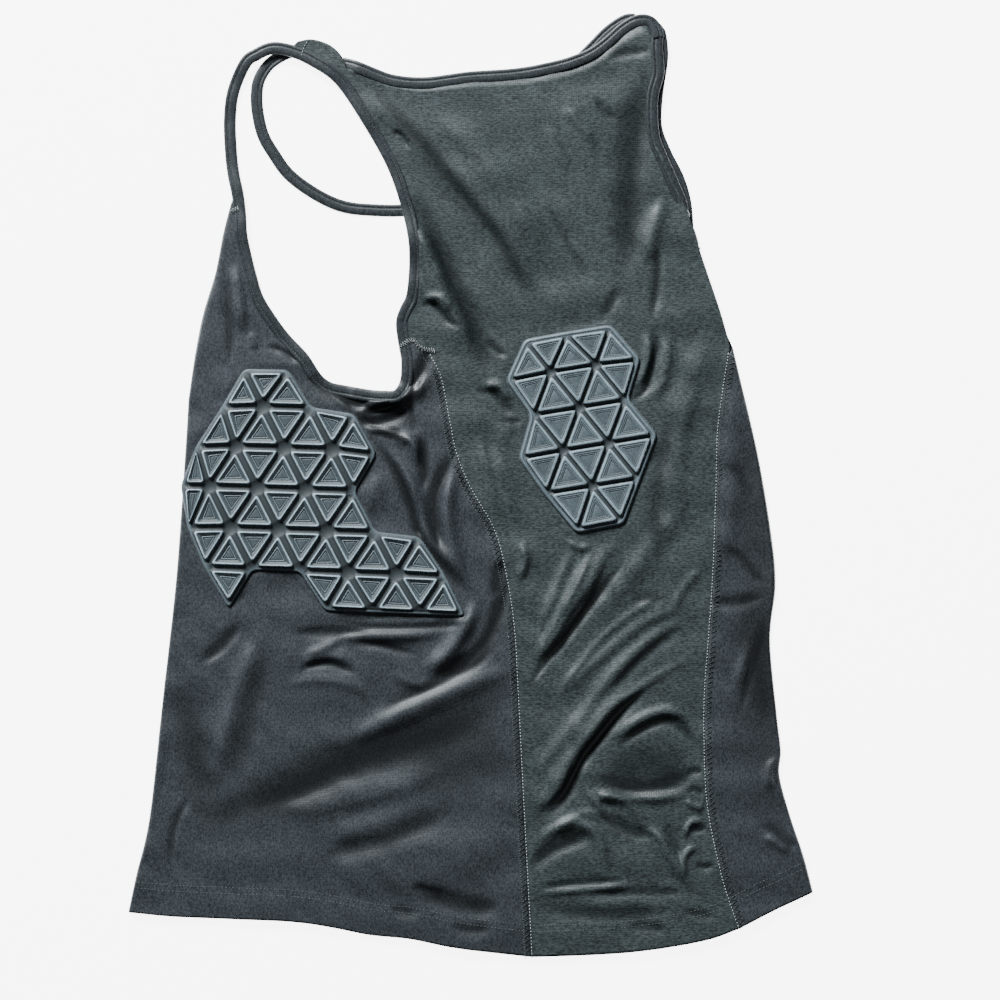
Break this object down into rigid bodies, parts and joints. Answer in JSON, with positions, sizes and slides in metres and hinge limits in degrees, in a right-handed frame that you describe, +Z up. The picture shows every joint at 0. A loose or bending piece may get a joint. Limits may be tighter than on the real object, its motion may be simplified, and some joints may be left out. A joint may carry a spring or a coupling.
{
  "type": "padded compression shirt, sleeveless, laid flat",
  "caption": "Sleeveless compression shirt in charcoal stretch knit, laid flat back side up, with triangular-cell foam pads on the ribs and back.",
  "frame": {"origin": "middle of the shirt's outline, on the surface it lies on", "axes": "+Z up from the surface, +Y from the hem to the shoulders, +X to the right as seen from above"},
  "size_m": [0.513, 0.7069, 0.0102],
  "materials": {
    "knit": "heavy stretch knit with a slight sheen",
    "jersey": "lighter mesh jersey, matte",
    "binding": "folded knit strip",
    "foam": "moulded foam under a knit face"
  },
  "bodies": {
    "root": {"front_panel": "knit", "back_panel": "jersey", "armhole_binding_left": "binding", "armhole_binding_right": "binding", "neck_binding_front": "binding", "neck_binding_back": "binding", "rib_pad": "foam", "back_pad": "foam"}
  },
  "joints": []
}
